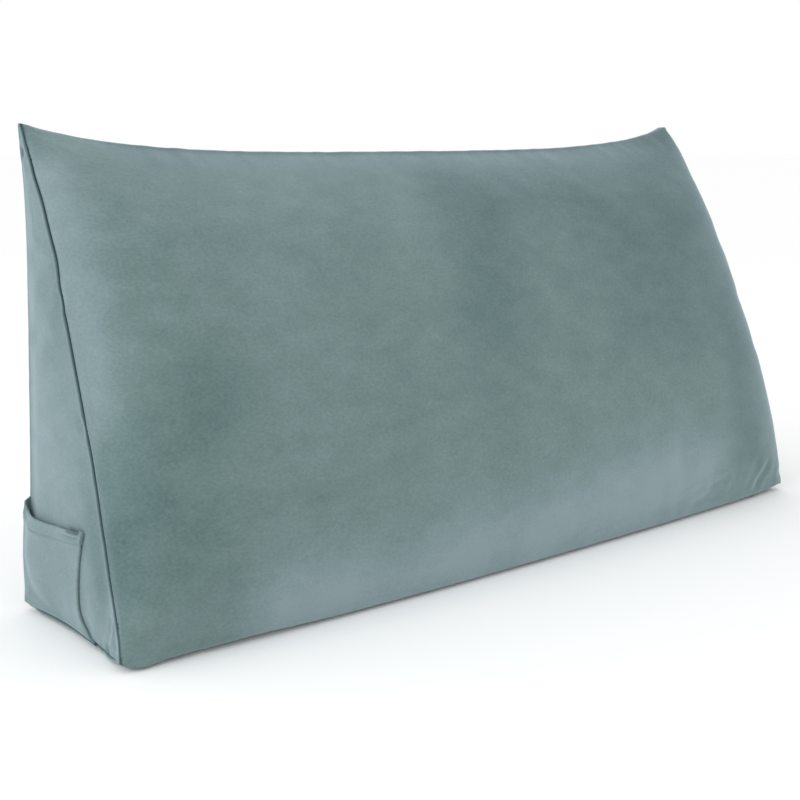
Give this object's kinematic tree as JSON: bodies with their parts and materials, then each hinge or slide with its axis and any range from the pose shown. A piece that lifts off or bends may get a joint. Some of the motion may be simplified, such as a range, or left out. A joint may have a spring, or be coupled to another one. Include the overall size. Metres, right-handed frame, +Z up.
{
  "type": "backrest pillow",
  "caption": "Wide wedge-shaped backrest pillow with a crowned sloping front, an upright back, three-cornered end panels and a patch pocket at one end.",
  "frame": {"origin": "centre of the object's box on the surface that it stands on", "axes": "+Z up; +X along the width, so the pocket is on the -X end; +Y from the sloping front towards the upright back"},
  "size_m": [1.0196, 0.2666, 0.5],
  "materials": {
    "velvet": "short-pile velvet, dusty grey-green, soft sheen"
  },
  "bodies": {
    "root": {"wedge_cushion": "velvet", "side_pocket": "velvet"}
  },
  "joints": []
}
